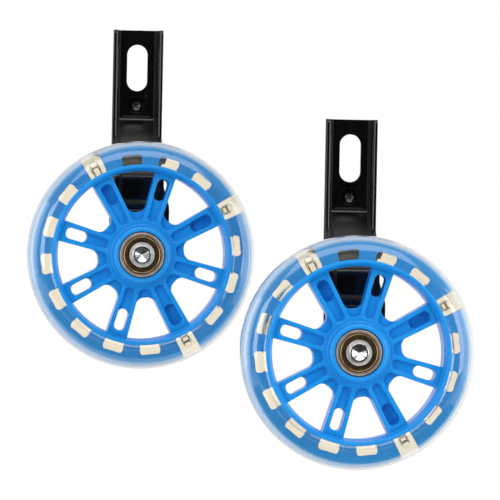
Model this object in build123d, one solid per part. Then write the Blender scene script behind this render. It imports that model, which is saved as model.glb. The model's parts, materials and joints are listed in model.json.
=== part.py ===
from build123d import *
import math
import os

# A pair of training wheels for a child's bicycle: two like units, one lower and nearer than the other.
# Each unit is built in the frame of its own wheel: X to the right, Y up, and Z along the axle towards
# the outer face, from the middle of the wheel. Sizes are in millimetres and angles in degrees.

# Placing of the second unit
PAIR_SIDE_STEP = 95.1
PAIR_DROP = 43.7
PAIR_FRONT_STEP = 112.9

# Ball bearings
BEARING_BORE = 8.0
BEARING_DIAMETER = 22.0
BEARING_WIDTH = 7.0
BALL_DIAMETER = 3.969
BALL_COUNT = 7
RACE_LAND_OFFSET = 1.4
RACE_CLEARANCE = 0.03
RING_CHAMFER = 0.35
CAGE_WALL = 1.8
CAGE_BACK = 0.35
CAGE_FINGER = 1.0
CAGE_CLEARANCE = 0.06
SHIELD_THICKNESS = 0.4
SHIELD_RECESS = 0.2
SHIELD_SEAT = 0.35
SHIELD_GAP = 0.25
SHIELD_BEAD_INSET = 0.75
SHIELD_BEAD_WIDTH = 0.3
SHIELD_BEAD_HEIGHT = 0.12

# Axle and what is threaded on it
AXLE_CLEARANCE = 0.02
AXLE_LIP_DIAMETER = 9.2
AXLE_LIP_HEIGHT = 0.9
AXLE_CONE_DIAMETER = 7.0
AXLE_CONE_DEPTH = 2.0
AXLE_HEAD_DIAMETER = 14.0
AXLE_HEAD_HEIGHT = 3.0
AXLE_HEAD_ROUND = 1.8
WASHER_DIAMETER = 17.0
WASHER_THICKNESS = 1.6
REAR_SPACER_LENGTH = 3.2
SPACER_WALL = 1.6
BEARING_SPACER_LENGTH = 9.4

# Lamp generator
MAGNET_WALL = 2.8
MAGNET_LENGTH = 8.0
MAGNET_FIT = 0.03
MAGNET_AIR_GAP = 1.0
COIL_DIAMETER = 6.0
COIL_LENGTH = 4.5
COIL_CORE_DIAMETER = 2.0
COIL_CLEARANCE = 0.2
COIL_AIR_GAP = 0.5

# Wheel core: hub
HUB_BOSS_WALL = 3.0
HUB_LIP = 0.3
HUB_EDGE_ROUND = 1.8
HUB_ROOT_ROUND = 1.0
HUB_MOUTH_CHAMFER = 0.3
BEARING_FIT = 0.01

# Wheel core: spokes and web
SPOKE_COUNT = 8
FIRST_SPOKE_ANGLE = 29.0
LAMP_SPOKES = (0, 2, 6)
SPOKE_THICKNESS = 14.0
SPOKE_ROOT_WIDTH = 8.8
SPOKE_TIP_WIDTH = 10.2
SPOKE_RIB_WIDTH = 1.9
SPOKE_EDGE_CHAMFER = 0.4
SPOKE_CHAMFER_ANGLE = 45.0
POCKET_DEPTH = 2.6
POCKET_DRAFT = 12.0
POCKET_START_RADIUS = 16.6
POCKET_CORNER = 1.9
SLOT_START_RADIUS = 27.3
SLOT_END_RADIUS = 38.0
SLOT_WIDTH = 5.4
LAMP_POCKET_DEPTH = 2.8
WEB_RECESS_RADIUS = 16.8
WEB_RECESS_CORNER = 2.2
GAP_INNER_RADIUS = 20.8
GAP_CORNER = 4.4

# Wheel core: rim and flange
RIM_INNER_RADIUS = 40.5
RIM_WALL = 3.1
RIM_LIP_WALL = 1.7
RIM_WIDTH = 23.0
RIM_EDGE_ROUND = 0.7
RIM_ROOT_ROUND = 0.8
FLANGE_HEIGHT = 6.4
FLANGE_THICKNESS = 4.0
FLANGE_EDGE_ROUND = 0.6
FLANGE_HOLE_LENGTH = 9.9
FLANGE_HOLE_HEIGHT = 3.3
FLANGE_HOLE_CORNER = 1.5
FLANGE_HOLE_MARGIN = 0.3
LAMP_WINDOW_WIDTH = 8.8

# Tyre
WHEEL_DIAMETER = 110.0
TYRE_BEAD_STEP = 1.0
TYRE_WIDTH = 24.0
SHOULDER_ROUND = 10.0

# Lamps
LENS_DIAMETER = 5.0
LENS_LENGTH = 5.8
LENS_SEAT_DEPTH = 1.0
LEAD_DIAMETER = 0.7
LEAD_SPACING = 3.2
LEAD_CLEARANCE = 0.05
LEAD_TIP_COVER = 1.2
CHIP_LENGTH = 0.6
CHIP_THICKNESS = 0.5

# Bracket
SHEET = 2.0
ARM_WIDTH = 23.9
PAD_WIDTH = 29.0
PAD_FLARE_LOW = 24.0
PAD_FLARE_HIGH = 33.0
PAD_FLARE_ROUND = 6.0
ARM_HEIGHT = 110.0
SLOT_HEIGHT = 91.6
AXLE_SLOT_WIDTH = 10.0
AXLE_SLOT_LENGTH = 22.7
UPPER_BEND_HEIGHT = 66.2
UPPER_STEP = 33.0
UPPER_SLOPE_HEIGHT = 28.0
MIDDLE_HEIGHT = 11.0
LOWER_STEP = 4.0
LOWER_SLOPE_HEIGHT = 5.5
BEND_ROUND = 2.0
FLANGE_DEPTH = 10.0
FLANGE_TOP_ROUND = 2.0
LIP_EDGE_ROUND = 1.2
GUSSET_TOP_HEIGHT = 48.0
GUSSET_END_HEIGHT = 18.0
WALL_ROUND = 1.8
ARM_BACK_ROUND = 2.0
ARCH_WIDTH = 15.0
ARCH_HEIGHT = 12.2
ARCH_CORNER = 6.0
ARCH_DEPTH = 0.9
ARCH_DRAFT = 50.0
ARCH_SLOT_MARGIN = 0.9
LUG_DIAMETER = 9.4
LUG_HEIGHT = 3.0
LUG_ROUND = 1.2
DIMPLE_DIAMETER = 8.0
DIMPLE_DEPTH = 2.4

# Finding edges and corners: how far a place may be off, and how nearly an edge runs front to back
PLACE_TOLERANCE = 1e-4
FRONT_TO_BACK = 0.9

# Derived places along the axle
shoulder_half = BEARING_SPACER_LENGTH / 2
bearing_face = shoulder_half + BEARING_WIDTH
bearing_middle = shoulder_half + BEARING_WIDTH / 2
hub_half = bearing_face + HUB_LIP
pad_front = -bearing_face - REAR_SPACER_LENGTH
pad_rear = pad_front - SHEET
plate_front = pad_front - LOWER_STEP - UPPER_STEP
bike_face = plate_front - SHEET
washer_rear = pad_rear - WASHER_THICKNESS

# Derived radii
axle_radius = BEARING_BORE / 2 - AXLE_CLEARANCE
pitch_radius = (BEARING_BORE + BEARING_DIAMETER) / 4
ball_radius = BALL_DIAMETER / 2
inner_land = pitch_radius - RACE_LAND_OFFSET
outer_land = pitch_radius + RACE_LAND_OFFSET
seat_radius = BEARING_DIAMETER / 2 + BEARING_FIT
spacer_bore = BEARING_BORE / 2 + AXLE_CLEARANCE
spacer_radius = spacer_bore + SPACER_WALL
magnet_bore = spacer_radius + MAGNET_FIT
magnet_radius = magnet_bore + MAGNET_WALL
hub_bore = magnet_radius + MAGNET_AIR_GAP
hub_radius = seat_radius + HUB_BOSS_WALL
coil_start = hub_bore + COIL_AIR_GAP
coil_end = coil_start + COIL_LENGTH
rim_radius = RIM_INNER_RADIUS + RIM_WALL
flange_radius = rim_radius + FLANGE_HEIGHT
wheel_radius = WHEEL_DIAMETER / 2
lens_seat = rim_radius - LENS_SEAT_DEPTH
lens_tip = lens_seat + LENS_LENGTH
spoke_half = SPOKE_THICKNESS / 2
spoke_step = 360 / SPOKE_COUNT
spoke_angles = [FIRST_SPOKE_ANGLE + spoke_step * index for index in range(SPOKE_COUNT)]
lamp_angles = [spoke_angles[index] for index in LAMP_SPOKES]
plain_angles = [angle for angle in spoke_angles if angle not in lamp_angles]


def turned(*points):
    """Solid turned about the axle from points of radius and height."""
    return revolve(Plane.XZ * make_face(Polyline(*points, close=True)), Axis.Z)


def ring(inner, outer, low, high):
    """Plain ring about the axle."""
    return turned((inner, low), (outer, low), (outer, high), (inner, high))


def circles(shape, radius, height):
    """Round edges about the axle of one radius, at this height on both sides."""
    def fits(edge):
        return (
            edge.geom_type == GeomType.CIRCLE
            and math.isclose(edge.radius, radius, abs_tol=PLACE_TOLERANCE)
            and math.isclose(abs(edge.arc_center.Z), height, abs_tol=PLACE_TOLERANCE)
        )
    return [edge for edge in shape.edges() if fits(edge)]


def turn(angle, shape):
    """The shape turned about the axle."""
    return Rot(0, 0, angle) * shape


def radial_rod(radius, start, end, side=0.0):
    """Rod that points outward along X at the middle of the wheel."""
    return Pos(start, side, 0) * Rot(0, 90, 0) * Cylinder(
        radius, end - start, align=(Align.CENTER, Align.CENTER, Align.MIN)
    )


# Ball bearing, made about the middle of its own width

def bearing_pieces():
    """The six pieces of one ball bearing."""
    half = BEARING_WIDTH / 2
    bore = BEARING_BORE / 2
    outer = BEARING_DIAMETER / 2
    chamfer_size = RING_CHAMFER
    race = Torus(pitch_radius, ball_radius + RACE_CLEARANCE)
    seat = outer_land + SHIELD_SEAT
    seat_floor = half - SHIELD_RECESS - SHIELD_THICKNESS
    inner_ring = turned(
        (bore, -half + chamfer_size), (bore + chamfer_size, -half), (inner_land, -half),
        (inner_land, half), (bore + chamfer_size, half), (bore, half - chamfer_size),
    ) - race
    outer_ring = turned(
        (outer_land, -seat_floor), (seat, -seat_floor), (seat, -half), (outer - chamfer_size, -half),
        (outer, -half + chamfer_size), (outer, half - chamfer_size), (outer - chamfer_size, half),
        (seat, half), (seat, seat_floor), (outer_land, seat_floor),
    ) - race
    places = [turn(360 * index / BALL_COUNT, Pos(pitch_radius, 0, 0)) for index in range(BALL_COUNT)]
    pocket = ball_radius + CAGE_CLEARANCE
    cage = ring(
        pitch_radius - CAGE_WALL / 2, pitch_radius + CAGE_WALL / 2, -pocket - CAGE_BACK, CAGE_FINGER
    ) - [place * Sphere(pocket) for place in places]
    bead = seat - SHIELD_BEAD_INSET
    shield_face = seat_floor + SHIELD_THICKNESS
    shield = turned(
        (inner_land + SHIELD_GAP, seat_floor), (seat - BEARING_FIT, seat_floor),
        (seat - BEARING_FIT, shield_face), (bead + SHIELD_BEAD_WIDTH, shield_face),
        (bead + SHIELD_BEAD_WIDTH / 2, shield_face + SHIELD_BEAD_HEIGHT), (bead, shield_face),
        (inner_land + SHIELD_GAP, shield_face),
    )
    return {
        "outer_ring": outer_ring,
        "inner_ring": inner_ring,
        "balls": Compound(children=[place * Sphere(ball_radius) for place in places]),
        "cage": cage,
        "outer_shield": shield,
        "inner_shield": mirror(shield, Plane.XY),
    }


# Axle and what is threaded on it

def axle():
    """Steel rivet with a flared front lip around a cone, and a round head behind the bracket."""
    lip = AXLE_LIP_DIAMETER / 2
    head = AXLE_HEAD_DIAMETER / 2
    front = bearing_face + AXLE_LIP_HEIGHT
    head_rear = washer_rear - AXLE_HEAD_HEIGHT
    pin = turned(
        (0, head_rear), (head, head_rear), (head, washer_rear), (axle_radius, washer_rear),
        (axle_radius, bearing_face), (lip, bearing_face), (lip, front),
        (AXLE_CONE_DIAMETER / 2, front), (0, front - AXLE_CONE_DEPTH),
    )
    pin = fillet(circles(pin, head, -head_rear), AXLE_HEAD_ROUND)
    return fillet(circles(pin, lip, front), AXLE_LIP_HEIGHT / 2)


def rear_washer():
    """Washer between the axle's head and the bracket."""
    return ring(spacer_bore, WASHER_DIAMETER / 2, washer_rear, pad_rear)


def rear_spacer():
    """Tube that keeps the rear bearing off the bracket."""
    return ring(spacer_bore, spacer_radius, pad_front, -bearing_face)


def bearing_spacer():
    """Tube between the inner rings of the two bearings."""
    return ring(spacer_bore, spacer_radius, -shoulder_half, shoulder_half)


def magnet_ring():
    """Ring magnet on the bearing spacer."""
    return ring(magnet_bore, magnet_radius, -MAGNET_LENGTH / 2, MAGNET_LENGTH / 2)


# Lamps and their generator

def lamp_leads():
    """Two straight wires from each coil into its lens, where the lamp's chip joins them."""
    radius = LEAD_DIAMETER / 2
    tip = lens_tip - LEAD_TIP_COVER
    chip = Pos(tip - LEAD_DIAMETER, 0, 0) * Box(CHIP_LENGTH, LEAD_SPACING, CHIP_THICKNESS)
    wires = [radial_rod(radius, coil_end, tip, side) for side in (-LEAD_SPACING / 2, LEAD_SPACING / 2)]
    return [turn(angle, chip + wires) for angle in lamp_angles]


def lens_blanks():
    """Clear lamps with a domed tip, before the wires are taken out."""
    radius = LENS_DIAMETER / 2
    straight = lens_tip - radius
    lens = radial_rod(radius, lens_seat, straight) + Pos(straight, 0, 0) * Sphere(radius)
    return [turn(angle, lens) for angle in lamp_angles]


def led_lenses():
    """The three lamps, cast around the ends of their wires."""
    return Compound(children=[lens - lamp_leads() for lens in lens_blanks()])


def coil_windings():
    """Copper windings that face the magnet."""
    winding = radial_rod(COIL_DIAMETER / 2, coil_start, coil_end)
    winding -= radial_rod(COIL_CORE_DIAMETER / 2, coil_start, coil_end)
    return Compound(children=[turn(angle, winding) for angle in lamp_angles])


def coil_cores():
    """Iron pins inside the windings."""
    core = radial_rod(COIL_CORE_DIAMETER / 2, coil_start, coil_end)
    return Compound(children=[turn(angle, core) for angle in lamp_angles])


# Wheel core

def spoke_width(radius):
    """Width of a spoke at this radius."""
    share = (radius - GAP_INNER_RADIUS) / (RIM_INNER_RADIUS - GAP_INNER_RADIUS)
    return SPOKE_ROOT_WIDTH + (SPOKE_TIP_WIDTH - SPOKE_ROOT_WIDTH) * share


def spoke_outline(start, end, inset):
    """Tapered outline along X, this far inside the spoke's edges."""
    low = spoke_width(start) / 2 - inset
    high = spoke_width(end) / 2 - inset
    return make_face(Polyline((start, -low), (end, -high), (end, high), (start, low), close=True))


def between_spokes(inner, outer, inset=0.0):
    """The flat fields between the spokes, from one radius to another, cut this far into the spokes."""
    fields = Circle(outer) - Circle(inner)
    for angle in spoke_angles:
        fields -= turn(angle, spoke_outline(0, rim_radius, inset))
    return fields


def rounded_inside(fields, inner, corner):
    """The fields with their corners on the inner radius rounded."""
    corners = [
        vertex for vertex in fields.vertices()
        if math.isclose(math.hypot(vertex.X, vertex.Y), inner, abs_tol=PLACE_TOLERANCE)
    ]
    return fillet(corners, corner)


def both_sides(cutter):
    """A cutter and its mirror image on the wheel's other side."""
    return [cutter, mirror(cutter, Plane.XY)]


def core_blank():
    """The turned body: hub with bearing seats, web, rim and flange."""
    rim_half = RIM_WIDTH / 2
    flange_half = FLANGE_THICKNESS / 2
    lip_radius = rim_radius - RIM_LIP_WALL
    half = [
        (hub_bore, shoulder_half), (seat_radius, shoulder_half), (seat_radius, hub_half),
        (hub_radius, hub_half), (hub_radius, spoke_half), (RIM_INNER_RADIUS, spoke_half),
        (lip_radius, rim_half), (rim_radius, rim_half), (rim_radius, flange_half),
        (flange_radius, flange_half),
    ]
    blank = turned(*half, *[(radius, -height) for radius, height in reversed(half)])
    blank = chamfer(circles(blank, seat_radius, hub_half), HUB_MOUTH_CHAMFER)
    blank = fillet(circles(blank, hub_radius, hub_half), HUB_EDGE_ROUND)
    blank = fillet(circles(blank, hub_radius, spoke_half), HUB_ROOT_ROUND)
    blank = fillet(circles(blank, RIM_INNER_RADIUS, spoke_half), RIM_ROOT_ROUND)
    rim_edges = circles(blank, lip_radius, rim_half) + circles(blank, rim_radius, rim_half)
    blank = fillet(rim_edges, RIM_EDGE_ROUND)
    return fillet(circles(blank, flange_radius, flange_half), FLANGE_EDGE_ROUND)


def sunk(outline, depth, draft):
    """Cutter from the spokes' face down to this depth, narrower towards its floor."""
    down = Plane((0, 0, spoke_half), x_dir=(1, 0, 0), z_dir=(0, 0, -1))
    return extrude(down * outline, depth, taper=draft)


def web_recess(widening):
    """Outline of the lower floor between the spokes, widened by this much towards them."""
    fields = between_spokes(WEB_RECESS_RADIUS, RIM_INNER_RADIUS, widening)
    return rounded_inside(fields, WEB_RECESS_RADIUS, WEB_RECESS_CORNER + widening)


def web_cutters():
    """Through gaps between the spokes, and the lower floor inside each gap with its chamfered edges."""
    gaps = rounded_inside(between_spokes(GAP_INNER_RADIUS, RIM_INNER_RADIUS), GAP_INNER_RADIUS, GAP_CORNER)
    floor_height = spoke_half - POCKET_DEPTH
    recess = Pos(0, 0, floor_height) * extrude(web_recess(0), hub_half - floor_height)
    mouth = sunk(web_recess(SPOKE_EDGE_CHAMFER), SPOKE_EDGE_CHAMFER, SPOKE_CHAMFER_ANGLE)
    return [extrude(gaps, hub_half, both=True), *both_sides(recess), *both_sides(mouth)]


def channel_outline(widening):
    """Outline of the channel in a spoke's face, widened by this much."""
    start = POCKET_START_RADIUS - widening
    end = SLOT_END_RADIUS + widening
    outline = spoke_outline(start, end, SPOKE_RIB_WIDTH - widening)
    return fillet(outline.vertices(), POCKET_CORNER + widening)


def spoke_cutters():
    """Channel in each spoke's face, with a slot through it, or a blind pocket where a lamp's wires run."""
    channel = sunk(channel_outline(0), POCKET_DEPTH, POCKET_DRAFT)
    mouth = sunk(channel_outline(SPOKE_EDGE_CHAMFER), SPOKE_EDGE_CHAMFER, SPOKE_CHAMFER_ANGLE)
    slot_middle = (SLOT_START_RADIUS + SLOT_END_RADIUS) / 2
    slot = Pos(slot_middle, 0) * SlotOverall(SLOT_END_RADIUS - SLOT_START_RADIUS, SLOT_WIDTH)
    through = extrude(slot, spoke_half, both=True)
    blind = sunk(slot, POCKET_DEPTH + LAMP_POCKET_DEPTH, 0)
    cutters = [turn(angle, cut) for angle in spoke_angles for cut in both_sides(channel) + both_sides(mouth)]
    cutters += [turn(angle, through) for angle in plain_angles]
    cutters += [turn(angle, cut) for angle in lamp_angles for cut in both_sides(blind)]
    return cutters


def flange_cutters():
    """Holes all round the flange, and the lamps' open windows."""
    hole_radius = rim_radius + FLANGE_HOLE_MARGIN + FLANGE_HOLE_HEIGHT / 2
    hole = Pos(hole_radius, 0) * RectangleRounded(FLANGE_HOLE_HEIGHT, FLANGE_HOLE_LENGTH, FLANGE_HOLE_CORNER)
    hole = extrude(hole, FLANGE_THICKNESS, both=True)
    window = Pos(flange_radius, 0, 0) * Box(2 * FLANGE_HEIGHT, LAMP_WINDOW_WIDTH, FLANGE_THICKNESS)
    window -= Cylinder(rim_radius, FLANGE_THICKNESS)
    hole_angles = [FIRST_SPOKE_ANGLE + spoke_step * index / 2 for index in range(2 * SPOKE_COUNT)]
    cutters = [turn(angle, hole) for angle in hole_angles if angle not in lamp_angles]
    return cutters + [turn(angle, window) for angle in lamp_angles]


def lamp_cutters():
    """Seats for the lenses and coils, and a bore for each wire."""
    lens = radial_rod(LENS_DIAMETER / 2, lens_seat, lens_tip)
    coil = radial_rod(COIL_DIAMETER / 2 + COIL_CLEARANCE, 0, coil_end)
    coil -= Cylinder(magnet_radius, SPOKE_THICKNESS)
    bore = LEAD_DIAMETER / 2 + LEAD_CLEARANCE
    cutters = [lens, coil]
    cutters += [
        radial_rod(bore, coil_end, lens_seat, side) for side in (-LEAD_SPACING / 2, LEAD_SPACING / 2)
    ]
    return [turn(angle, cut) for angle in lamp_angles for cut in cutters]


def wheel_core():
    """Blue moulding with hub, spokes, rim and flange."""
    return core_blank() - web_cutters() - spoke_cutters() - flange_cutters() - lamp_cutters()


# Tyre

def tyre(core):
    """Clear tyre cast around the flange and the lamps."""
    side = TYRE_WIDTH / 2
    half = [
        (rim_radius, RIM_WIDTH / 2 - RIM_EDGE_ROUND), (rim_radius + TYRE_BEAD_STEP, side), (wheel_radius, side),
    ]
    mirrored = [(radius, -height) for radius, height in reversed(half)]
    section = make_face(Polyline(*half, *mirrored, close=True))
    shoulders = [vertex for vertex in section.vertices() if math.isclose(vertex.X, wheel_radius)]
    return revolve(Plane.XZ * fillet(shoulders, SHOULDER_ROUND), Axis.Z) - core - lens_blanks()


# Bracket

def bend_points():
    """Front face of the bent sheet from top to bottom, as points of depth and height."""
    upper_end = UPPER_BEND_HEIGHT - UPPER_SLOPE_HEIGHT
    middle_end = upper_end - MIDDLE_HEIGHT
    middle_front = plate_front + UPPER_STEP
    return [
        (plate_front, ARM_HEIGHT + PAD_WIDTH), (plate_front, UPPER_BEND_HEIGHT),
        (middle_front, upper_end), (middle_front, middle_end),
        (pad_front, middle_end - LOWER_SLOPE_HEIGHT), (pad_front, -PAD_WIDTH),
    ]


def shifted(points, distance):
    """The same bends on a line this far behind."""
    moved = [(points[0][0] - distance, points[0][1])]
    for before, here, after in zip(points, points[1:], points[2:]):
        normals = [unit_normal(before, here), unit_normal(here, after)]
        total = normals[0] + normals[1]
        step = total * (2 * distance / total.dot(total))
        moved.append((here[0] + step.X, here[1] + step.Y))
    return moved + [(points[-1][0] - distance, points[-1][1])]


def unit_normal(start, end):
    """Direction to the rear of a stretch of the sheet."""
    along = Vector(end[0] - start[0], end[1] - start[1]).normalized()
    return Vector(along.Y, -along.X)


def bent_region(points, first_round, second_round, far):
    """Everything between the bent line and a far depth, in side view."""
    radii = [first_round, second_round, first_round, second_round]
    line = FilletPolyline(*points, radius=radii)
    closing = Polyline(line @ 1, (far, points[-1][1]), (far, points[0][1]), line @ 0)
    return make_face(line + closing)


def sideways(section):
    """A side view of depth and height, extruded over the bracket's width."""
    side_view = Plane((0, 0, 0), x_dir=(0, 0, 1), z_dir=(-1, 0, 0))
    return extrude(side_view * section, PAD_WIDTH, both=True)


def arm_outline():
    """Front view of the bracket: straight arm, wider pad and round lower end."""
    arm = Pos(0, ARM_HEIGHT / 2) * Rectangle(ARM_WIDTH, ARM_HEIGHT)
    half_arm = ARM_WIDTH / 2
    half_pad = PAD_WIDTH / 2
    pad = make_face(Polyline(
        (-half_pad, 0), (half_pad, 0), (half_pad, PAD_FLARE_LOW), (half_arm, PAD_FLARE_HIGH),
        (-half_arm, PAD_FLARE_HIGH), (-half_pad, PAD_FLARE_LOW), close=True,
    ))
    outline = arm + pad + Circle(half_pad)
    flare = [
        vertex for vertex in outline.vertices()
        if any(math.isclose(vertex.Y, height) for height in (PAD_FLARE_LOW, PAD_FLARE_HIGH))
    ]
    return fillet(flare, PAD_FLARE_ROUND)


def wall_region(ahead, far_front):
    """Side view of the side walls: lips beside the slot above, and gussets behind the sheet below."""
    lip_front = plate_front + FLANGE_DEPTH
    lip = Pos((bike_face + lip_front) / 2, (GUSSET_TOP_HEIGHT + ARM_HEIGHT) / 2) * Rectangle(
        lip_front - bike_face, ARM_HEIGHT - GUSSET_TOP_HEIGHT
    )
    top_front = [
        vertex for vertex in lip.vertices()
        if vertex.X > plate_front and vertex.Y > GUSSET_TOP_HEIGHT
    ]
    gusset = make_face(Polyline(
        (bike_face, ARM_HEIGHT), (bike_face, GUSSET_TOP_HEIGHT), (pad_rear, GUSSET_END_HEIGHT),
        (pad_rear, -PAD_WIDTH), (far_front, -PAD_WIDTH), (far_front, ARM_HEIGHT), close=True,
    ))
    return gusset - ahead + fillet(top_front, FLANGE_TOP_ROUND)


def lip_channel(ahead):
    """What is taken out in front of the sheet, between the two lips."""
    low = UPPER_BEND_HEIGHT - UPPER_SLOPE_HEIGHT
    height = ARM_HEIGHT + PAD_WIDTH - low
    inner_half = ARM_WIDTH / 2 - SHEET
    field = Pos(0, low + height / 2) * Rectangle(2 * inner_half, height)
    channel = sideways(ahead) & extrude(field, 2 * bike_face)
    corners = [
        edge for edge in channel.edges()
        if math.isclose(abs(edge.center().X), inner_half, abs_tol=PLACE_TOLERANCE)
        and edge.center().Z < plate_front + UPPER_STEP
        and edge.center().Y > low
        and abs(edge.tangent_at(0.5).Z) < FRONT_TO_BACK
    ]
    return fillet(corners, WALL_ROUND)


def long_back_edges(block):
    """The arm's upright edges at the face to the bicycle."""
    return [
        edge for edge in block.edges()
        if math.isclose(abs(edge.center().X), ARM_WIDTH / 2, abs_tol=PLACE_TOLERANCE)
        and math.isclose(edge.center().Z, bike_face, abs_tol=PLACE_TOLERANCE)
    ]


def lip_edge_cutters(ahead):
    """What rounds the inner front edge of both lips, in front of the sheet."""
    inner = ARM_WIDTH / 2 - SHEET
    flat = inner + LIP_EDGE_ROUND
    lip_front = plate_front + FLANGE_DEPTH
    low = lip_front - LIP_EDGE_ROUND
    clear = lip_front + SHEET
    middle = (flat - LIP_EDGE_ROUND * math.cos(math.pi / 4), low + LIP_EDGE_ROUND * math.sin(math.pi / 4))
    outside = Polyline((inner, low), (0, low), (0, clear), (flat, clear), (flat, lip_front))
    section = make_face(ThreePointArc((flat, lip_front), middle, (inner, low)) + outside)
    from_above = Plane((0, 0, 0), x_dir=(1, 0, 0), z_dir=(0, -1, 0))
    corner = extrude(from_above * section, -ARM_HEIGHT - PAD_WIDTH) & sideways(ahead)
    return [corner, mirror(corner, Plane.YZ)]


def locating_lug():
    """Lug that sits in the bicycle's dropout, and the pressed arch and dimple on its other side."""
    arch_top = SLOT_HEIGHT - AXLE_SLOT_LENGTH / 2 - ARCH_SLOT_MARGIN
    middle = arch_top - ARCH_HEIGHT / 2
    outline = Rectangle(ARCH_WIDTH, ARCH_HEIGHT)
    outline = fillet([vertex for vertex in outline.vertices() if vertex.Y < 0], ARCH_CORNER)
    into_plate = Plane((0, middle, plate_front), x_dir=(1, 0, 0), z_dir=(0, 0, -1))
    arch = extrude(into_plate * outline, ARCH_DEPTH, taper=ARCH_DRAFT)
    rim = DIMPLE_DIAMETER / 2
    ball = (rim ** 2 + DIMPLE_DEPTH ** 2) / (2 * DIMPLE_DEPTH)
    dimple = Pos(0, middle, plate_front - ARCH_DEPTH - DIMPLE_DEPTH + ball) * Sphere(ball)
    lug = Pos(0, middle, bike_face - LUG_HEIGHT / 2) * Cylinder(LUG_DIAMETER / 2, LUG_HEIGHT)
    tip = [edge for edge in lug.edges() if math.isclose(edge.center().Z, bike_face - LUG_HEIGHT)]
    return fillet(tip, LUG_ROUND), [arch, dimple]


def bracket():
    """Steel pressing: the bent sheet with its side walls, slot, locating lug and axle hole."""
    front = bend_points()
    rear = shifted(front, SHEET)
    outer_round = BEND_ROUND + SHEET
    far_front = pad_front + PAD_WIDTH
    ahead = bent_region(front, BEND_ROUND, outer_round, far_front)
    behind = bent_region(rear, outer_round, BEND_ROUND, bike_face - PAD_WIDTH)
    outline = arm_outline()
    block = extrude(outline, bike_face) & sideways(wall_region(ahead, far_front))
    block = fillet(long_back_edges(block), ARM_BACK_ROUND)
    hollow = sideways(behind) & extrude(offset(outline, -SHEET), 2 * bike_face)
    slot = Pos(0, SLOT_HEIGHT) * Rot(0, 0, 90) * SlotOverall(AXLE_SLOT_LENGTH, AXLE_SLOT_WIDTH)
    holes = [extrude(slot, 2 * bike_face), extrude(Circle(spacer_bore), 2 * bike_face)]
    lug, pressed = locating_lug()
    return block - lip_channel(ahead) - lip_edge_cutters(ahead) - hollow + lug - holes - pressed


# Assembly

def unit_pieces():
    """Every piece of one unit by name, in the frame of its wheel."""
    core = wheel_core()
    pieces = {
        "bracket": bracket(),
        "axle": axle(),
        "rear_washer": rear_washer(),
        "rear_spacer": rear_spacer(),
        "bearing_spacer": bearing_spacer(),
        "magnet_ring": magnet_ring(),
        "wheel_core": core,
        "tyre": tyre(core),
        "led_lenses": led_lenses(),
        "led_leads": Compound(children=lamp_leads()),
        "coil_windings": coil_windings(),
        "coil_cores": coil_cores(),
    }
    bearing_places = {
        "front": Pos(0, 0, bearing_middle),
        "rear": Pos(0, 0, -bearing_middle) * Rot(180, 0, 0),
    }
    for side, place in bearing_places.items():
        for name, piece in bearing_pieces().items():
            pieces[f"{side}_bearing_{name}"] = place * piece
    return pieces


def unit_place(side_step, front_step, drop):
    """Where a unit stands: upright, with the left unit's slot on the origin at its face to the bicycle."""
    wheel_middle = (side_step, bike_face - front_step, -SLOT_HEIGHT - drop)
    return Plane(wheel_middle, x_dir=(1, 0, 0), z_dir=(0, -1, 0)).location


if __name__ == "__main__":
    os.makedirs("parts", exist_ok=True)
    places = {
        "left": unit_place(0, 0, 0),
        "right": unit_place(PAIR_SIDE_STEP, PAIR_FRONT_STEP, PAIR_DROP),
    }
    for name, piece in unit_pieces().items():
        for side, place in places.items():
            export_step(place * piece, f"parts/{side}_{name}.step")
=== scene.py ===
import json
import math

import bpy
from mathutils import Matrix, Vector


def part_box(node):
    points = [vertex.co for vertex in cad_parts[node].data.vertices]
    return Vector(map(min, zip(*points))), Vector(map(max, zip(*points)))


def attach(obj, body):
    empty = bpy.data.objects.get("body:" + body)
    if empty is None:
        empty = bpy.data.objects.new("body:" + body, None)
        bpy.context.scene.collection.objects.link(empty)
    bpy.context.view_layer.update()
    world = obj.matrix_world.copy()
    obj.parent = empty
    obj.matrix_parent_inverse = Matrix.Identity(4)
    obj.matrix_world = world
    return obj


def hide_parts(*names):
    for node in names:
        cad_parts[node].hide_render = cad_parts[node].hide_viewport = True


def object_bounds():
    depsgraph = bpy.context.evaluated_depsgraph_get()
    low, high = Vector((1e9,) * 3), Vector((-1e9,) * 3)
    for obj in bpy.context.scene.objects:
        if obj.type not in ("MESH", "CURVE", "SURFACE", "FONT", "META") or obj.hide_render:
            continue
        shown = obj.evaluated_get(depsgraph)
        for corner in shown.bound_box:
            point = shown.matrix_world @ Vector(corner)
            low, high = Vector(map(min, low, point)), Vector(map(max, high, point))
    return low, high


# A pair of training wheels: clear tyres cast around blue spoked wheels, on black pressed brackets.
# Lengths are in metres and angles in degrees.

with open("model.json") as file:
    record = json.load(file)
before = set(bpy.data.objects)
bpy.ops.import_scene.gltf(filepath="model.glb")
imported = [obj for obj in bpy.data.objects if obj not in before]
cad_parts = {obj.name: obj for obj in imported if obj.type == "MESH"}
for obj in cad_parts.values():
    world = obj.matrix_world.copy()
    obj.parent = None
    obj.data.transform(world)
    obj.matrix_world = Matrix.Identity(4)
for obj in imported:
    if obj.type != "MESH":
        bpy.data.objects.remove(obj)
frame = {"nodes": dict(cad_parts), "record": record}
cad_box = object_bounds()

UNITS = ("left", "right")

# Photograph: the left wheel's middle and radius in pixels, in a picture of 500 by 500
PICTURE_SIZE = 500
LEFT_WHEEL_PIXEL = (140.5, 254.8)
LEFT_WHEEL_PIXEL_RADIUS = 113.76

# Camera: how far from the left wheel it stands, how it is turned, and how far it sees
CAMERA_DISTANCE = 3.4
CAMERA_YAW = 4.6
CAMERA_ROLL = 1.1
CAMERA_REACH = 100.0
SENSOR_WIDTH_IN_MILLIMETRES = 36.0

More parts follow.
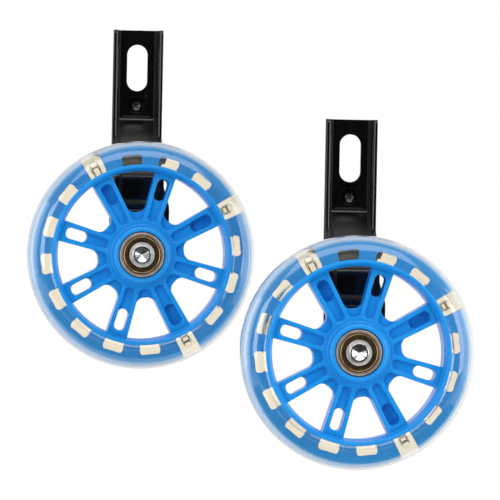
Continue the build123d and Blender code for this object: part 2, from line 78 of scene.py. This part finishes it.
# Tyre section, as in the solid it stands for, with a foot that is sunk into the rim
TYRE_BEAD_RADIUS = 0.0436
TYRE_BEAD_WIDTH = 0.0216
TYRE_BEAD_STEP = 0.001
SHOULDER_ROUND = 0.01
TYRE_SINK = 0.0013
TYRE_SINK_INSET = 0.0002
TYRE_SEGMENTS = 240
SHOULDER_STEPS = 28

# Patterns: the stretch that holds most values of a cloudy one, and the period of rings at a scale of 1
NOISE_SPREAD = (0.3, 0.7)
RING_PERIOD = math.pi / 10

# Paint: dull in a stretch beside a bracket's middle, where the flanges' creases are, and on their sides
PAINT_COLOURS = ((0.0016, 0.0016, 0.0018, 1), (0.0032, 0.0032, 0.0034, 1))
PAINT_CLOUDS = {"size": 0.02, "detail": 3.0}
PAINT_ROUGHNESS = (0.14, 0.2)
PAINT_POLISH = {"size": 0.006, "detail": 5.0}
PAINT_PEEL = {"size": 0.0016, "detail": 1.0}
PAINT_PEEL_DEPTH = 0.000005
PAINT_IOR = 1.56
CREASE_START = (0.008, 0.0088)
CREASE_END = (0.0097, 0.01)
FLANGE_SIDE = (0.0118, 0.0119)
CREASE_ROUGHNESS = 0.95

# Metals: detail of their clouds, and how many times finer the polish changes than the colour
METAL_DETAIL = 4.0
POLISH_FINENESS = 3

# Plain metals: colours, size of the clouds, polish, and depth of the marks or grain given after each
AXLE_STEEL = {
    "colours": ((0.76, 0.76, 0.78, 1), (0.9, 0.9, 0.92, 1)),
    "spot": 0.003,
    "roughness": (0.14, 0.24),
    "marks_depth": 0.000002,
}
AXLE_MARKS_SPACING = 0.0004
ZINC_STEEL = {
    "colours": ((0.5, 0.51, 0.53, 1), (0.68, 0.69, 0.7, 1)),
    "spot": 0.004,
    "roughness": (0.28, 0.45),
    "marks_depth": 0.00001,
}
ZINC_GRAIN = {"size": 0.0006, "detail": 3.0}
CAGE_STEEL = {
    "colours": ((0.45, 0.45, 0.45, 1), (0.6, 0.6, 0.6, 1)),
    "spot": 0.002,
    "roughness": (0.25, 0.4),
    "marks_depth": 0.000008,
}
CAGE_GRAIN = {"size": 0.0004, "detail": 3.0}
COPPER_WIRE = {
    "colours": ((0.5, 0.19, 0.07, 1), (0.75, 0.36, 0.16, 1)),
    "spot": 0.002,
    "roughness": (0.2, 0.35),
    "marks_depth": 0.00006,
}
COPPER_TURNS_SPACING = 0.0003
SOFT_IRON = {
    "colours": ((0.18, 0.17, 0.16, 1), (0.3, 0.29, 0.28, 1)),
    "spot": 0.001,
    "roughness": (0.45, 0.65),
    "marks_depth": 0.00001,
}
IRON_GRAIN = {"size": 0.0002, "detail": 3.0}

# Ringed metals: colours by the distance from the axle, size of the clouds, polish, and spacing of the marks
RING_BRIGHTNESS = (0.75, 1.25)
RING_MARKS_DEPTH = 0.000002
BEARING_STEEL = {
    "stops": (
        (0.005, (0.84, 0.82, 0.79, 1)),
        (0.0065, (0.8, 0.77, 0.73, 1)),
        (0.0085, (0.24, 0.15, 0.09, 1)),
        (0.0098, (0.4, 0.31, 0.25, 1)),
        (0.0106, (0.74, 0.71, 0.69, 1)),
        (0.011, (0.56, 0.56, 0.58, 1)),
    ),
    "spot": 0.004,
    "roughness": (0.48, 0.6),
    "marks_spacing": 0.0005,
}
BEARING_SHIELD = {
    "stops": (
        (0.006, (0.1, 0.075, 0.045, 1)),
        (0.0072, (0.2, 0.13, 0.07, 1)),
        (0.0084, (0.24, 0.14, 0.05, 1)),
        (0.00855, (0.95, 0.68, 0.4, 1)),
        (0.00875, (0.95, 0.68, 0.4, 1)),
        (0.0089, (0.12, 0.055, 0.02, 1)),
        (0.0094, (0.09, 0.04, 0.015, 1)),
    ),
    "spot": 0.003,
    "roughness": (0.26, 0.38),
    "marks_spacing": 0.0008,
}
LEAD_STEEL = {
    "stops": (
        (0.044, (0.05, 0.05, 0.05, 1)),
        (0.0456, (0.1, 0.1, 0.1, 1)),
        (0.0462, (0.7, 0.64, 0.5, 1)),
        (0.0472, (0.8, 0.74, 0.6, 1)),
    ),
    "spot": 0.001,
    "roughness": (0.35, 0.55),
    "marks_spacing": 0.0003,
}

# Magnets
FERRITE_COLOURS = ((0.012, 0.012, 0.013, 1), (0.03, 0.03, 0.032, 1))
FERRITE_CLOUDS = {"size": 0.0004, "detail": 5.0}
FERRITE_ROUGHNESS = (0.55, 0.75)
FERRITE_POLISH = {"size": 0.001, "detail": 3.0}
FERRITE_GRAIN = {"size": 0.0003, "detail": 4.0}
FERRITE_GRAIN_DEPTH = 0.00003

# Blue plastic, with painted shade in a dark ring round the bearing, where the gap beside it is shaded, that
# ends at a distance from the axle
PLASTIC_COLOURS = ((0.005, 0.27, 0.745, 1), (0.008, 0.308, 0.815, 1))
PLASTIC_CLOUDS = {"size": 0.018, "detail": 2.0}
PLASTIC_ROUGHNESS = (0.26, 0.36)
PLASTIC_POLISH = {"size": 0.004, "detail": 4.0}
PLASTIC_GRAIN = {"size": 0.0009, "detail": 2.0}
PLASTIC_GRAIN_DEPTH = 0.000012
PLASTIC_IOR = 1.46
MOULDED_EDGE = 0.0005
# Painted shade round the bearing: how far from the axle it reaches, and its dark colour
BEARING_SHADE_REACH = (0.01125, 0.0116)
BEARING_SHADE_COLOUR = (0.004, 0.03, 0.12, 1)

# Clear resins of the tyres and the lamps: clouds, polish and faint waves, and how strongly depth tints them
RESIN_CLOUDS = {"size": 0.012, "detail": 2.0}
RESIN_POLISH = {"size": 0.008, "detail": 3.0}
RESIN_WAVES = {"size": 0.007, "detail": 2.0}
RESIN_WAVES_DEPTH = 0.00002
RESIN_DENSITY = 8.0

# Clear tyres: colours of the side, then colours and clearness of the tread by the distance from the axle;
# the tread's colours darken at its outer edge, which is painted shade along the tyre's outline
TYRE_COLOURS = ((0.94, 0.87, 0.72, 1), (0.98, 0.93, 0.8, 1))
# The last stops darken the tread's outer edge: painted shade along the tyre's outline
TREAD_COLOURS_AND_EDGE_SHADE = (
    (0.052, (0.78, 0.77, 0.64, 1)),
    (0.0534, (0.97, 0.96, 0.89, 1)),
    (0.0542, (0.74, 0.77, 0.77, 1)),
    (0.055, (0.52, 0.55, 0.56, 1)),
)
TREAD_REACH = (0.0512, 0.0533)
TYRE_CLARITY = (0.985, 0.66)
TYRE_ROUGHNESS = (0.03, 0.08)
TYRE_DEPTH_COLOUR = (0.9, 0.7, 0.2, 1)
TYRE_SKIN = {"IOR": 1.5, "Coat_Weight": 0.8, "Coat_Roughness": 0.14}

# Lamps inside the tyres
LAMP_COLOURS = ((0.96, 0.95, 0.92, 1), (1.0, 0.99, 0.97, 1))
LAMP_CLARITY = (0.95, 0.98)
LAMP_HAZE = {"size": 0.003, "detail": 3.0}
LAMP_ROUGHNESS = (0.02, 0.06)
LAMP_DEPTH_COLOUR = (0.9, 0.8, 0.6, 1)
LAMP_SKIN = {"IOR": 1.04}

# Floor
FLOOR_DROP = 0.16
FLOOR_SIZE = 8.0
FLOOR_COLOURS = ((0.86, 0.86, 0.86, 1), (0.9, 0.9, 0.9, 1))
FLOOR_CLOUDS = {"size": 0.3, "detail": 3.0}
FLOOR_ROUGHNESS = 0.7
FLOOR_FADE = (0.5, 1.6)

# Soft boxes: where each stands as seen from the wheels, its size, and how bright its face is
SOFTBOX_DISTANCE = 1.3
SOFTBOXES = {
    "left_softbox": {"azimuth": -38, "elevation": 8, "width": 0.5, "height": 0.6, "radiance": 4.0},
    "left_side_softbox": {"azimuth": -88, "elevation": 6, "width": 1.0, "height": 1.1, "radiance": 1.8},
    "right_softbox": {"azimuth": 46, "elevation": 4, "width": 0.5, "height": 0.6, "radiance": 3.6},
    "right_side_softbox": {"azimuth": 80, "elevation": 6, "width": 1.1, "height": 1.1, "radiance": 1.8},
    "top_softbox": {"azimuth": 0, "elevation": 48, "width": 1.5, "height": 0.8, "radiance": 2.2},
}

# Dark card in front of the part, low down, which only gloss mirrors
CARD_WIDTH = 0.9
CARD_DEPTH = 0.5
CARD_GAP = 0.08
CARD_RISE = 0.02
CARD_COLOUR = (0.012, 0.011, 0.012, 1)
CARD_ROUGHNESS = 1.0
CARD_HIDDEN_FROM = ("camera", "diffuse", "transmission", "shadow")

# Room light, by direction: dark towards the viewer, brighter to the sides and above, white behind
ROOM_FRONT = 0.04
ROOM_SIDE = 0.32
ROOM_BELOW_SHARE = 0.15
ROOM_WHITE = (1, 1, 1, 1)
FRONT_TO_SIDE = (-0.97, -0.6)
BELOW_TO_ABOVE = (-0.7, 0.5)
SIDE_TO_BEHIND = (-0.05, 0.25)
ASIDE_TO_THROUGH = (0.3, 0.6)


# Shader nodes

def set_socket(tree, socket, value):
    """Sets a socket to a value, or feeds it from another socket."""
    if isinstance(value, bpy.types.NodeSocket):
        tree.links.new(value, socket)
    else:
        socket.default_value = value


def add(tree, kind, inputs=None, **settings):
    """A new node with its settings, and its inputs set to values or fed by other nodes' sockets."""
    made = tree.nodes.new(kind)
    for name, value in settings.items():
        setattr(made, name, value)
    for name, value in (inputs or {}).items():
        set_socket(tree, made.inputs[name], value)
    return made


def feed(tree, shader, **inputs):
    """Sets inputs of a shader, or feeds them from sockets; an underscore stands for a space in a name."""
    for name, value in inputs.items():
        set_socket(tree, shader.inputs[name.replace("_", " ")], value)


def material(name):
    """A new material, with its node tree and its surface shader."""
    made = bpy.data.materials.new(name)
    made.use_nodes = True
    return made, made.node_tree, made.node_tree.nodes["Principled BSDF"]


def scaled(tree, value, from_range, to_range, smooth=False):
    """The value carried from one range to another, and held at its ends."""
    made = add(tree, "ShaderNodeMapRange", {
        "Value": value, "From Min": from_range[0], "From Max": from_range[1],
        "To Min": to_range[0], "To Max": to_range[1],
    }, interpolation_type="SMOOTHSTEP" if smooth else "LINEAR")
    return made.outputs["Result"]


def calculated(tree, operation, *values):
    """The result of a calculation with numbers or sockets."""
    return add(tree, "ShaderNodeMath", dict(enumerate(values)), operation=operation).outputs["Value"]


def vector_results(tree, operation, *values):
    """The results of a calculation with vectors or sockets: a vector and a number."""
    return add(tree, "ShaderNodeVectorMath", dict(enumerate(values)), operation=operation).outputs


def place_on_piece(tree):
    """Where a point lies on the part at rest."""
    return add(tree, "ShaderNodeTexCoord").outputs["Object"]


def place_from(tree, middle):
    """Where a point lies on the part at rest, as seen from a middle."""
    return vector_results(tree, "SUBTRACT", place_on_piece(tree), middle)["Vector"]


def axle_distance(tree, middle):
    """How far a point lies from an axle."""
    flat = vector_results(tree, "MULTIPLY", place_from(tree, middle), (1, 0, 1))["Vector"]
    return vector_results(tree, "LENGTH", flat)["Value"]


def side_distance(tree, middle):
    """How far a point lies to either side of a unit's middle."""
    across = add(tree, "ShaderNodeSeparateXYZ", {"Vector": place_on_piece(tree)}).outputs["X"]
    return calculated(tree, "ABSOLUTE", calculated(tree, "SUBTRACT", across, middle.x))


def noise(tree, size, detail):
    """Cloudy pattern with spots of this size, from 0 to 1."""
    made = add(tree, "ShaderNodeTexNoise", {
        "Vector": place_on_piece(tree), "Scale": 1 / size, "Detail": detail,
    })
    return made.outputs["Fac"]


def turning_marks(tree, middle, spacing):
    """Fine rings about an axle, from 0 to 1."""
    made = add(tree, "ShaderNodeTexWave", {
        "Vector": place_from(tree, middle), "Scale": RING_PERIOD / spacing,
    }, wave_type="RINGS", rings_direction="Y")
    return made.outputs["Fac"]


def drifting(tree, reach, **pattern):
    """A number that drifts between the ends of its reach in a cloudy pattern."""
    return scaled(tree, noise(tree, **pattern), NOISE_SPREAD, reach)


def mixed(tree, share, first, second):
    """A colour between two colours."""
    made = add(tree, "ShaderNodeMix", {"Factor": share, "A": first, "B": second}, data_type="RGBA")
    return made.outputs["Result"]


def clouded(tree, colours, **pattern):
    """A colour that drifts between two colours in a cloudy pattern."""
    return mixed(tree, noise(tree, **pattern), *colours)


def banded(tree, value, stops):
    """A colour that runs through the colours of (value, colour) stops."""
    first = stops[0][0]
    last = stops[-1][0]
    made = add(tree, "ShaderNodeValToRGB", {"Fac": scaled(tree, value, (first, last), (0, 1))})
    elements = made.color_ramp.elements
    while len(elements) < len(stops):
        elements.new(1)
    for element, (place, colour) in zip(elements, stops):
        element.position = (place - first) / (last - first)
        element.color = colour
    return made.outputs["Color"]


def bump(tree, height, depth, edge_round=0):
    """Surface detail of this depth, over edges that are rounded off this far."""
    made = add(tree, "ShaderNodeBump", {"Height": height, "Distance": depth})
    if edge_round:
        rounded = add(tree, "ShaderNodeBevel", {"Radius": edge_round})
        tree.links.new(rounded.outputs["Normal"], made.inputs["Normal"])
    return made.outputs["Normal"]


def open_up(tree, shader, share):
    """Lets this share of the light pass a surface unbent."""
    open_way = add(tree, "ShaderNodeBsdfTransparent").outputs["BSDF"]
    surface = add(tree, "ShaderNodeMixShader", {0: share, 1: shader.outputs["BSDF"], 2: open_way})
    tree.links.new(surface.outputs["Shader"], tree.nodes["Material Output"].inputs["Surface"])


# Finishes

def black_paint(name, middle):
    """Gloss black paint with a slight orange peel, dull in the flanges' creases and on their sides."""
    made, tree, shader = material(name)
    beside = side_distance(tree, middle)
    crease = calculated(
        tree, "MINIMUM",
        scaled(tree, beside, CREASE_START, (0, 1), smooth=True),
        scaled(tree, beside, CREASE_END, (1, 0), smooth=True),
    )
    dull = calculated(tree, "MAXIMUM", crease, scaled(tree, beside, FLANGE_SIDE, (0, 1)))
    dullness = scaled(tree, dull, (0, 1), (0, CREASE_ROUGHNESS))
    gloss = drifting(tree, PAINT_ROUGHNESS, **PAINT_POLISH)
    feed(
        tree, shader,
        Base_Color=clouded(tree, PAINT_COLOURS, **PAINT_CLOUDS),
        Roughness=calculated(tree, "MAXIMUM", gloss, dullness),
        IOR=PAINT_IOR,
        Normal=bump(tree, noise(tree, **PAINT_PEEL), PAINT_PEEL_DEPTH),
    )
    return made


def metal(name, marks, colours, spot, roughness, marks_depth):
    """Bare metal with cloudy changes of colour and polish, and fine marks in its surface."""
    made, tree, shader = material(name)
    feed(
        tree, shader, Metallic=1.0,
        Base_Color=clouded(tree, colours, size=spot, detail=METAL_DETAIL),
        Roughness=drifting(tree, roughness, size=spot / POLISH_FINENESS, detail=METAL_DETAIL),
        Normal=bump(tree, marks(tree), marks_depth),
    )
    return made


def ringed_metal(name, middle, stops, spot, roughness, marks_spacing):
    """Turned metal whose colour changes with the distance from its axle, with cloudy polish."""
    made, tree, shader = material(name)
    shade = add(tree, "ShaderNodeHueSaturation", {
        "Color": banded(tree, axle_distance(tree, middle), stops),
        "Value": drifting(tree, RING_BRIGHTNESS, size=spot, detail=METAL_DETAIL),
    })
    feed(
        tree, shader, Metallic=1.0,
        Base_Color=shade.outputs["Color"],
        Roughness=drifting(tree, roughness, size=spot / POLISH_FINENESS, detail=METAL_DETAIL),
        Normal=bump(tree, turning_marks(tree, middle, marks_spacing), RING_MARKS_DEPTH),
    )
    return made


def axle_steel(name, middle):
    """Polished steel with faint turning marks."""
    return metal(name, lambda tree: turning_marks(tree, middle, AXLE_MARKS_SPACING), **AXLE_STEEL)


def zinc_steel(name):
    """Zinc plate with soft cloudy spangle."""
    return metal(name, lambda tree: noise(tree, **ZINC_GRAIN), **ZINC_STEEL)


def bearing_steel(name, middle):
    """Ground steel: bright inner ring, and an outer ring that is browner next to the shield."""
    return ringed_metal(name, middle, **BEARING_STEEL)


def cage_steel(name):
    """Pressed bright steel."""
    return metal(name, lambda tree: noise(tree, **CAGE_GRAIN), **CAGE_STEEL)


def bearing_shield(name, middle):
    """Bronze-coloured pressed shield with a bright pressed line."""
    return ringed_metal(name, middle, **BEARING_SHIELD)


def lead_steel(name, middle):
    """Dull tinned wire, pale where it is joined to the lamp's chip."""
    return ringed_metal(name, middle, **LEAD_STEEL)


def copper_wire(name, middle):
    """Enamelled copper, wound in close turns."""
    return metal(name, lambda tree: turning_marks(tree, middle, COPPER_TURNS_SPACING), **COPPER_WIRE)


def soft_iron(name):
    """Bare iron with a grey skin."""
    return metal(name, lambda tree: noise(tree, **IRON_GRAIN), **SOFT_IRON)


def ferrite(name):
    """Dull sintered magnet with fine grain."""
    made, tree, shader = material(name)
    feed(
        tree, shader,
        Base_Color=clouded(tree, FERRITE_COLOURS, **FERRITE_CLOUDS),
        Roughness=drifting(tree, FERRITE_ROUGHNESS, **FERRITE_POLISH),
        Normal=bump(tree, noise(tree, **FERRITE_GRAIN), FERRITE_GRAIN_DEPTH),
    )
    return made


def blue_plastic(name, middle):
    """Moulded blue plastic, half glossy, with faint flow clouds and painted shade in a dark ring round the
    bearing.
    """
    made, tree, shader = material(name)
    clouds = clouded(tree, PLASTIC_COLOURS, **PLASTIC_CLOUDS)
    # Painted shade: the plastic darkens in a ring just round the bearing, where the gap beside the bearing
    # is shaded
    bearing_shade = scaled(tree, axle_distance(tree, middle), BEARING_SHADE_REACH, (1, 0), smooth=True)
    feed(
        tree, shader,
        Base_Color=mixed(tree, bearing_shade, clouds, BEARING_SHADE_COLOUR),
        Roughness=drifting(tree, PLASTIC_ROUGHNESS, **PLASTIC_POLISH),
        IOR=PLASTIC_IOR,
        Normal=bump(tree, noise(tree, **PLASTIC_GRAIN), PLASTIC_GRAIN_DEPTH, MOULDED_EDGE),
    )
    return made


def clear_resin(name, tint, clarity, roughness, depth_colour, skin):
    """Clear cast resin, tinted at its skin and with its depth; skin holds more inputs of its shader."""
    made, tree, shader = material(name)
    feed(
        tree, shader,
        Base_Color=tint(tree),
        Transmission_Weight=clarity(tree),
        Roughness=drifting(tree, roughness, **RESIN_POLISH),
        Normal=bump(tree, noise(tree, **RESIN_WAVES), RESIN_WAVES_DEPTH),
        **skin,
    )
    rays = add(tree, "ShaderNodeLightPath").outputs
    open_up(tree, shader, calculated(tree, "MAXIMUM", rays["Is Shadow Ray"], rays["Is Diffuse Ray"]))
    depth_tint = add(tree, "ShaderNodeVolumeAbsorption", {"Color": depth_colour, "Density": RESIN_DENSITY})
    tree.links.new(depth_tint.outputs["Volume"], tree.nodes["Material Output"].inputs["Volume"])
    return made


def clear_tyre(name, middle):
    """Clear polyurethane, cream where it is deep and faintly milky, with painted shade darkening the tread's
    outer edge.
    """
    def tint(tree):
        distance = axle_distance(tree, middle)
        clouds = clouded(tree, TYRE_COLOURS, **RESIN_CLOUDS)
        # Painted shade: the tread's colour darkens towards its outer edge
        tread_and_edge_shade = banded(tree, distance, TREAD_COLOURS_AND_EDGE_SHADE)
        return mixed(tree, scaled(tree, distance, TREAD_REACH, (0, 1), smooth=True), clouds, tread_and_edge_shade)

    def clarity(tree):
        return scaled(tree, axle_distance(tree, middle), TREAD_REACH, TYRE_CLARITY, smooth=True)

    return clear_resin(name, tint, clarity, TYRE_ROUGHNESS, TYRE_DEPTH_COLOUR, TYRE_SKIN)


def lamp_resin(name):
    """Clear lamp body, whose edges barely show inside the tyre."""
    def tint(tree):
        return clouded(tree, LAMP_COLOURS, **RESIN_CLOUDS)

    def clarity(tree):
        return drifting(tree, LAMP_CLARITY, **LAMP_HAZE)

    return clear_resin(name, tint, clarity, LAMP_ROUGHNESS, LAMP_DEPTH_COLOUR, LAMP_SKIN)


# Finishes by their slots: those that follow a unit's middle, and those that don't
CENTRED_FINISHES = {
    "black_paint": black_paint,
    "axle_steel": axle_steel,
    "blue_plastic": blue_plastic,
    "clear_tyre": clear_tyre,
    "lead_steel": lead_steel,
    "copper_wire": copper_wire,
    "bearing_steel": bearing_steel,
    "bearing_shield": bearing_shield,
}
PLAIN_FINISHES = {
    "zinc_steel": zinc_steel,
    "ferrite": ferrite,
    "lamp_resin": lamp_resin,
    "soft_iron": soft_iron,
    "cage_steel": cage_steel,
}


def wheel_middle(unit):
    """Middle of a unit's wheel."""
    low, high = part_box(f"{unit}_tyre")
    return (low + high) / 2


def finishes_of(unit):
    """All finishes of a unit, by their slots."""
    middle = wheel_middle(unit)
    centred = {slot: finish(f"{unit}_{slot}", middle) for slot, finish in CENTRED_FINISHES.items()}
    plain = {slot: finish(f"{unit}_{slot}") for slot, finish in PLAIN_FINISHES.items()}
    return centred | plain


def dress_solids(finishes):
    """Gives every solid of the frame the finish of its slot."""
    for subpart in frame["record"]["subparts"]:
        unit = subpart["node"].split("_")[0]
        for slot in frame["nodes"][subpart["node"]].material_slots:
            slot.material = finishes[unit][subpart["material_slot"]]


# Shapes

def new_object(name, points, faces):
    """An object with a mesh of these points and faces."""
    mesh = bpy.data.meshes.new(name)
    mesh.from_pydata(points, [], faces)
    made = bpy.data.objects.new(name, mesh)
    bpy.context.scene.collection.objects.link(made)
    return made


def arc(middle, radius, start, end, steps):
    """Points of an arc in a section, from one angle to another."""
    angles = [math.radians(start + (end - start) * step / steps) for step in range(steps + 1)]
    return [(middle[0] + radius * math.cos(angle), middle[1] + radius * math.sin(angle)) for angle in angles]


def tyre_section(wheel_radius, tyre_width):
    """Closed section of a tyre as points of radius and height, with its foot sunk into the rim."""
    bead = TYRE_BEAD_WIDTH / 2
    side = tyre_width / 2
    shoulder_middle = (wheel_radius - SHOULDER_ROUND, side - SHOULDER_ROUND)
    half = [
        (TYRE_BEAD_RADIUS - TYRE_SINK, bead - TYRE_SINK_INSET),
        (TYRE_BEAD_RADIUS, bead),
        (TYRE_BEAD_RADIUS + TYRE_BEAD_STEP, side),
    ]
    half += arc(shoulder_middle, SHOULDER_ROUND, 90, 0, SHOULDER_STEPS)
    return half + [(radius, -height) for radius, height in reversed(half)]


def lathe(name, section, middle):
    """A closed body turned about a wheel's axle."""
    count = len(section)
    points = []
    faces = []
    for segment in range(TYRE_SEGMENTS):
        angle = 2 * math.pi * segment / TYRE_SEGMENTS
        for radius, height in section:
            points.append(middle + Vector((radius * math.cos(angle), -height, radius * math.sin(angle))))
        here = segment * count
        there = (segment + 1) % TYRE_SEGMENTS * count
        for index in range(count):
            following = (index + 1) % count
            faces.append((here + index, here + following, there + following, there + index))
    made = new_object(name, points, faces)
    made.data.shade_smooth()
    return made


def clear_tyres(finishes):
    """Both tyres, cast around the flange and the lamps."""
    for unit in UNITS:
        low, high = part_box(f"{unit}_tyre")
        size = high - low
        tyre = lathe(f"{unit}_clear_tyre", tyre_section(size.z / 2, size.y), wheel_middle(unit))
        tyre.data.materials.append(finishes[unit]["clear_tyre"])
        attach(tyre, f"{unit}_wheel")
        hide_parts(f"{unit}_tyre")


# Stage

def room_light():
    """The room: white behind the part, with a darker side towards the viewer that gloss can mirror."""
    world = bpy.data.worlds.new("room")
    bpy.context.scene.world = world
    world.use_nodes = True
    tree = world.node_tree
    direction = add(tree, "ShaderNodeTexCoord").outputs["Generated"]
    parts = add(tree, "ShaderNodeSeparateXYZ", {"Vector": direction}).outputs
    front = scaled(tree, parts["Y"], FRONT_TO_SIDE, (ROOM_FRONT, ROOM_SIDE), smooth=True)
    height = scaled(tree, parts["Z"], BELOW_TO_ABOVE, (ROOM_BELOW_SHARE, 1))
    behind = scaled(tree, parts["Y"], SIDE_TO_BEHIND, (0, 1), smooth=True)
    level = calculated(tree, "MAXIMUM", calculated(tree, "MULTIPLY", front, height), behind)
    rays = add(tree, "ShaderNodeLightPath").outputs
    straight = scaled(tree, calculated(tree, "ABSOLUTE", parts["Y"]), ASIDE_TO_THROUGH, (0, 1))
    through = calculated(tree, "MULTIPLY", rays["Is Transmission Ray"], straight)
    seen = calculated(tree, "MAXIMUM", rays["Is Camera Ray"], through)
    shown = calculated(tree, "MAXIMUM", level, seen)
    feed(tree, tree.nodes["Background"], Color=ROOM_WHITE, Strength=shown)


def softboxes(target):
    """Large soft lamps that face the part."""
    for name, box in SOFTBOXES.items():
        azimuth = math.radians(box["azimuth"])
        elevation = math.radians(box["elevation"])
        direction = Vector((
            math.sin(azimuth) * math.cos(elevation),
            -math.cos(azimuth) * math.cos(elevation),
            math.sin(elevation),
        ))
        lamp = bpy.data.lights.new(name, "AREA")
        lamp.shape = "RECTANGLE"
        lamp.size = box["width"]
        lamp.size_y = box["height"]
        lamp.energy = box["radiance"] * math.pi * box["width"] * box["height"]
        made = bpy.data.objects.new(name, lamp)
        made.location = target + direction * SOFTBOX_DISTANCE
        made.rotation_euler = (-direction).to_track_quat("-Z", "Y").to_euler()
        made.visible_camera = False
        bpy.context.scene.collection.objects.link(made)


def level_sheet(name, left, right, near, far, height):
    """A flat level sheet between its four sides."""
    corners = [(left, near, height), (right, near, height), (right, far, height), (left, far, height)]
    return new_object(name, corners, [(0, 1, 2, 3)])


def pale_floor(height):
    """Plain pale floor below the part, which fades out far from it."""
    half = FLOOR_SIZE / 2
    floor = level_sheet("floor", -half, half, -half, half, height)
    made, tree, shader = material("pale_floor")
    feed(tree, shader, Roughness=FLOOR_ROUGHNESS, Base_Color=clouded(tree, FLOOR_COLOURS, **FLOOR_CLOUDS))
    reach = vector_results(tree, "DISTANCE", place_on_piece(tree), (0, 0, height))["Value"]
    open_up(tree, shader, scaled(tree, reach, FLOOR_FADE, (0, 1), smooth=True))
    floor.data.materials.append(made)


def dark_card(target, floor_level):
    """Dark card over the floor in front of the part, which polished faces that look down mirror."""
    left = target.x - CARD_WIDTH / 2
    far = target.y - CARD_GAP
    card = level_sheet("dark_card", left, left + CARD_WIDTH, far - CARD_DEPTH, far, floor_level + CARD_RISE)
    made, tree, shader = material("dark_card")
    feed(tree, shader, Roughness=CARD_ROUGHNESS, Base_Color=CARD_COLOUR)
    card.data.materials.append(made)
    for rays in CARD_HIDDEN_FROM:
        setattr(card, f"visible_{rays}", False)


def photo_camera():
    """Camera at the photograph's place, worked out from the left wheel's place and size in the picture."""
    wheel = wheel_middle("left")
    low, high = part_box("left_tyre")
    yaw = math.radians(CAMERA_YAW)
    roll = math.radians(CAMERA_ROLL)
    forward = Vector((math.sin(yaw), math.cos(yaw), 0))
    level = Vector((math.cos(yaw), -math.sin(yaw), 0))
    upright = Vector((0, 0, 1))
    right = math.cos(roll) * level + math.sin(roll) * upright
    up = math.cos(roll) * upright - math.sin(roll) * level
    pixel = (high.z - low.z) / 2 / LEFT_WHEEL_PIXEL_RADIUS
    across = (LEFT_WHEEL_PIXEL[0] - PICTURE_SIZE / 2) * pixel
    down = (LEFT_WHEEL_PIXEL[1] - PICTURE_SIZE / 2) * pixel
    lens = bpy.data.cameras.new("photo_camera")
    lens.sensor_fit = "HORIZONTAL"
    lens.sensor_width = SENSOR_WIDTH_IN_MILLIMETRES
    lens.lens = SENSOR_WIDTH_IN_MILLIMETRES * CAMERA_DISTANCE / (pixel * PICTURE_SIZE)
    lens.clip_end = CAMERA_REACH
    camera = bpy.data.objects.new("photo_camera", lens)
    place = wheel - forward * CAMERA_DISTANCE - right * across + up * down
    rows = [[right[row], up[row], -forward[row], place[row]] for row in range(3)]
    camera.matrix_world = Matrix(rows + [[0, 0, 0, 1]])
    bpy.context.scene.collection.objects.link(camera)
    bpy.context.scene.camera = camera


bpy.context.scene.view_settings.view_transform = "Standard"
unit_finishes = {unit: finishes_of(unit) for unit in UNITS}
dress_solids(unit_finishes)
clear_tyres(unit_finishes)
box_low, box_high = (Vector(corner) for corner in cad_box)
part_middle = (box_low + box_high) / 2
floor_height = box_low.z - FLOOR_DROP
room_light()
softboxes(part_middle)
pale_floor(floor_height)
dark_card(part_middle, floor_height)
photo_camera()
